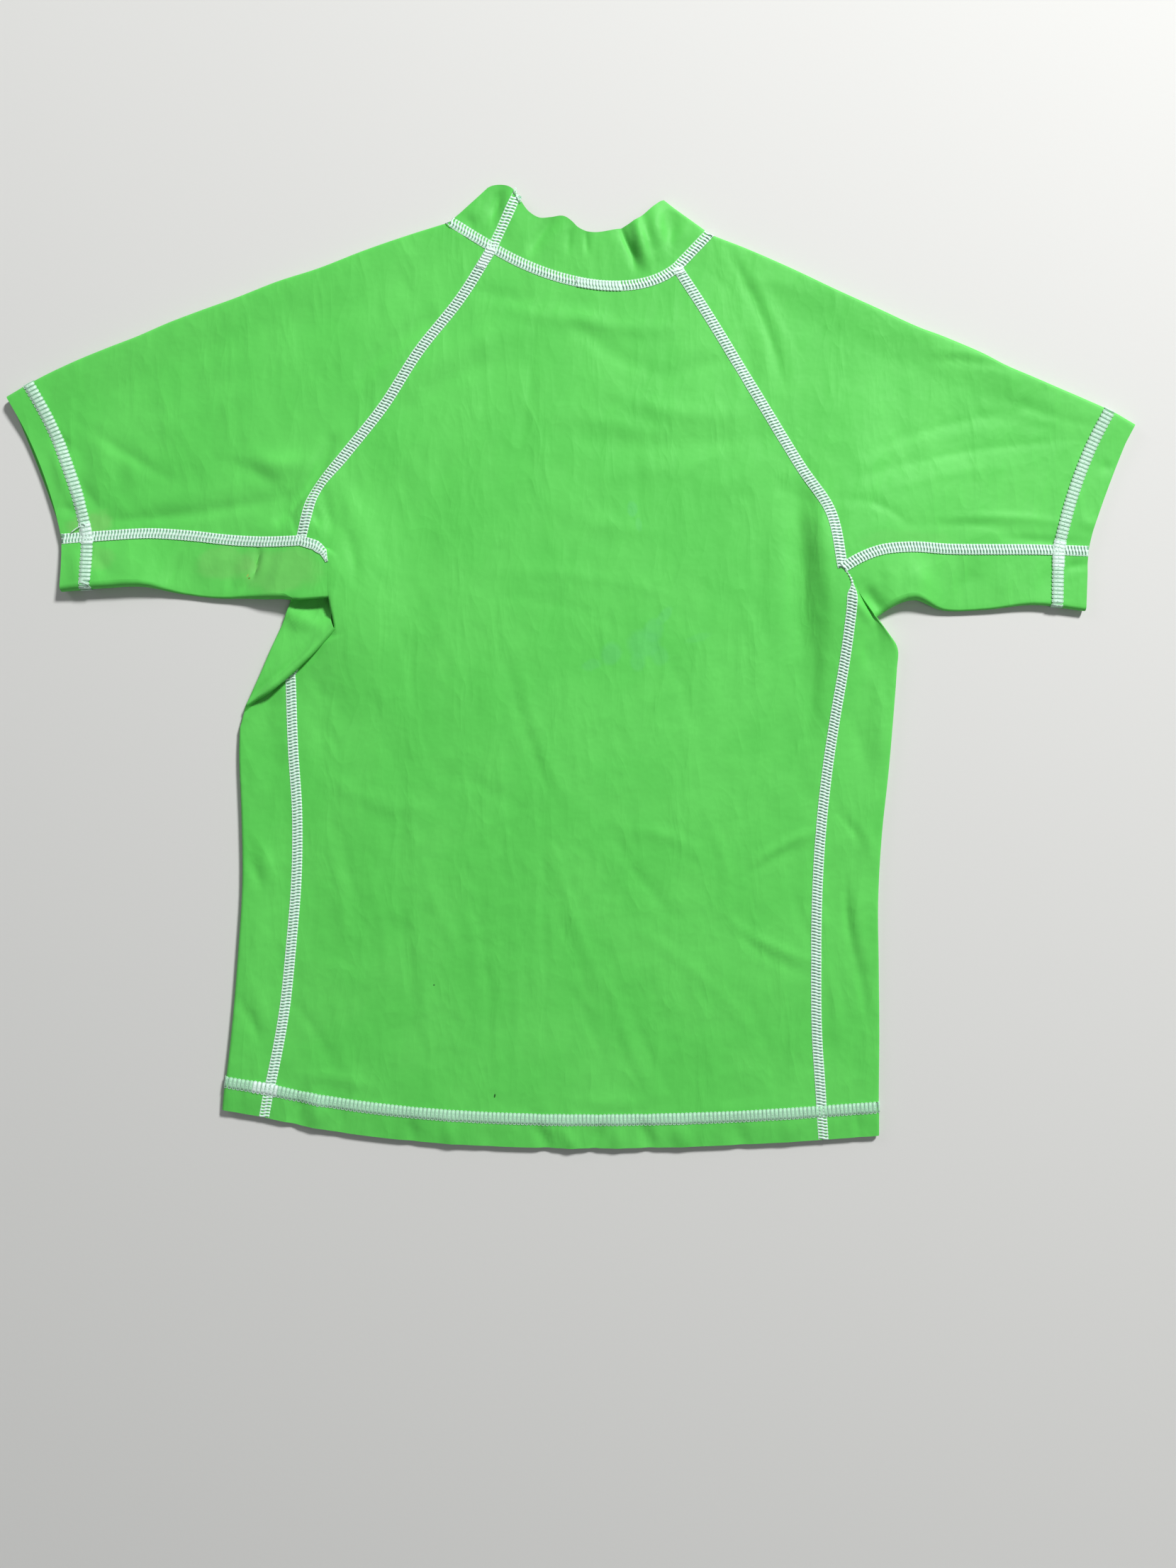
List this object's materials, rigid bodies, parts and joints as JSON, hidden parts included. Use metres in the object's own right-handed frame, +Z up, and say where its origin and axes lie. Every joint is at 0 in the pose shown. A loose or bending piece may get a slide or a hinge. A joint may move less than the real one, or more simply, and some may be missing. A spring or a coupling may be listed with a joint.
{
  "type": "short-sleeved t-shirt",
  "caption": "Short-sleeved raglan stretch top with a stand-up collar and flat-locked seams, laid flat with its back up.",
  "frame": {"origin": "on the surface the garment lies on, under the middle of the chest, 260 mm below the back neck seam", "axes": "+X to the wearer's right seen from above the back, +Y towards the collar, +Z up from the surface"},
  "size_m": [0.7575, 0.6456, 0.0085],
  "materials": {
    "swim_jersey": "lime green nylon and elastane warp-knit jersey, soft matt with a slight sheen",
    "seam_thread": "white textured polyester thread"
  },
  "bodies": {
    "root": {"back_panel": "swim_jersey", "front_panel": "swim_jersey", "sleeve_left": "swim_jersey", "sleeve_right": "swim_jersey", "side_panel_left": "swim_jersey", "side_panel_right": "swim_jersey", "collar": "swim_jersey"}
  },
  "joints": []
}
